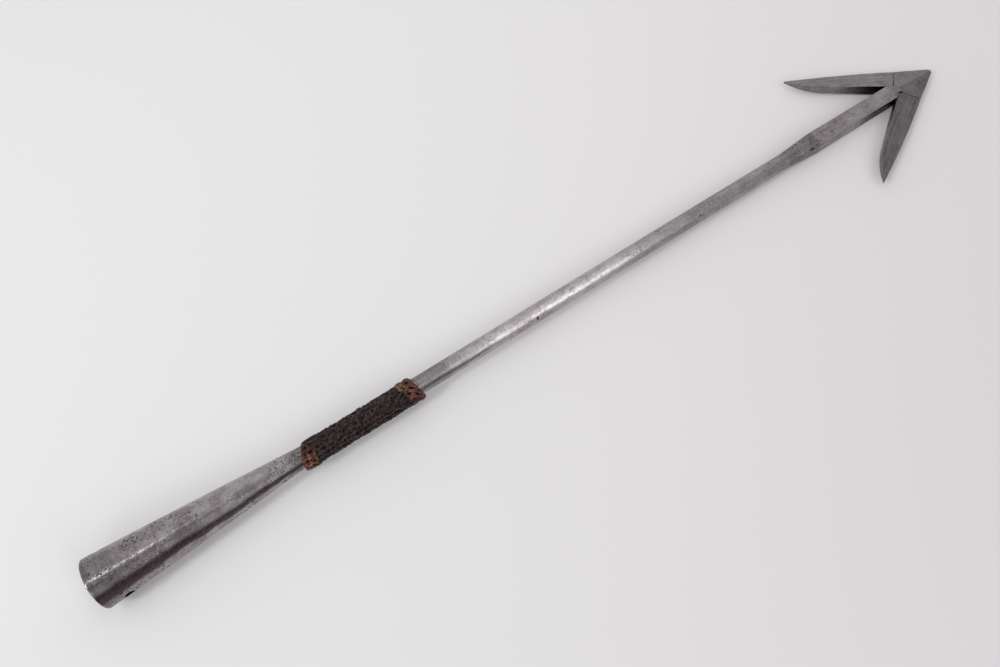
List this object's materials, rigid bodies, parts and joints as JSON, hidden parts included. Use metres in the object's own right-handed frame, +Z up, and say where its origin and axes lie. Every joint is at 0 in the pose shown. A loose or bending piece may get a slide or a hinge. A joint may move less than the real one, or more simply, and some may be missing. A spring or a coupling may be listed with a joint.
{
  "type": "hand harpoon",
  "caption": "Hand-forged harpoon iron: tapered pole socket, round shank with a tarred cord binding, square neck and an arrow head whose hinged barbs fold against the neck.",
  "frame": {"origin": "centre of the socket mouth, on the axis of the iron", "axes": "+X along the iron to the point, +Y to the left barb in the plane in which the barbs fold, +Z up with the barbs lying flat"},
  "size_m": [0.8, 0.1274, 0.0416],
  "materials": {
    "socket_iron": "pitted and worn bright",
    "shank_iron": "worn, lightly pitted",
    "head_iron": "dull, pitted",
    "barb_iron": "dull, pitted",
    "pin_iron": "worn flush",
    "tarred_canvas": "tarred",
    "tarred_cord": "tarred",
    "brown_cord": "weathered",
    "red_brown_cord": "weathered"
  },
  "bodies": {
    "iron": {"shank": "shank_iron", "socket": "socket_iron", "head_forging": "head_iron", "binding_canvas": "tarred_canvas", "binding_winding": "tarred_cord", "collar_lower": "brown_cord", "collar_upper": "red_brown_cord"},
    "left_barb": {"barb_left": "barb_iron", "hinge_pin_left": "pin_iron"},
    "right_barb": {"barb_right": "barb_iron", "hinge_pin_right": "pin_iron"}
  },
  "joints": [
    {"name": "left_barb_hinge", "type": "hinge", "parent": "iron", "child": "left_barb", "pos_m": [0.754, 0.0125, 0], "axis": [0, 0, 1], "range_deg": [0, 35]},
    {"name": "right_barb_hinge", "type": "hinge", "parent": "iron", "child": "right_barb", "pos_m": [0.754, -0.0125, 0], "axis": [0, 0, -1], "range_deg": [0, 35]}
  ]
}
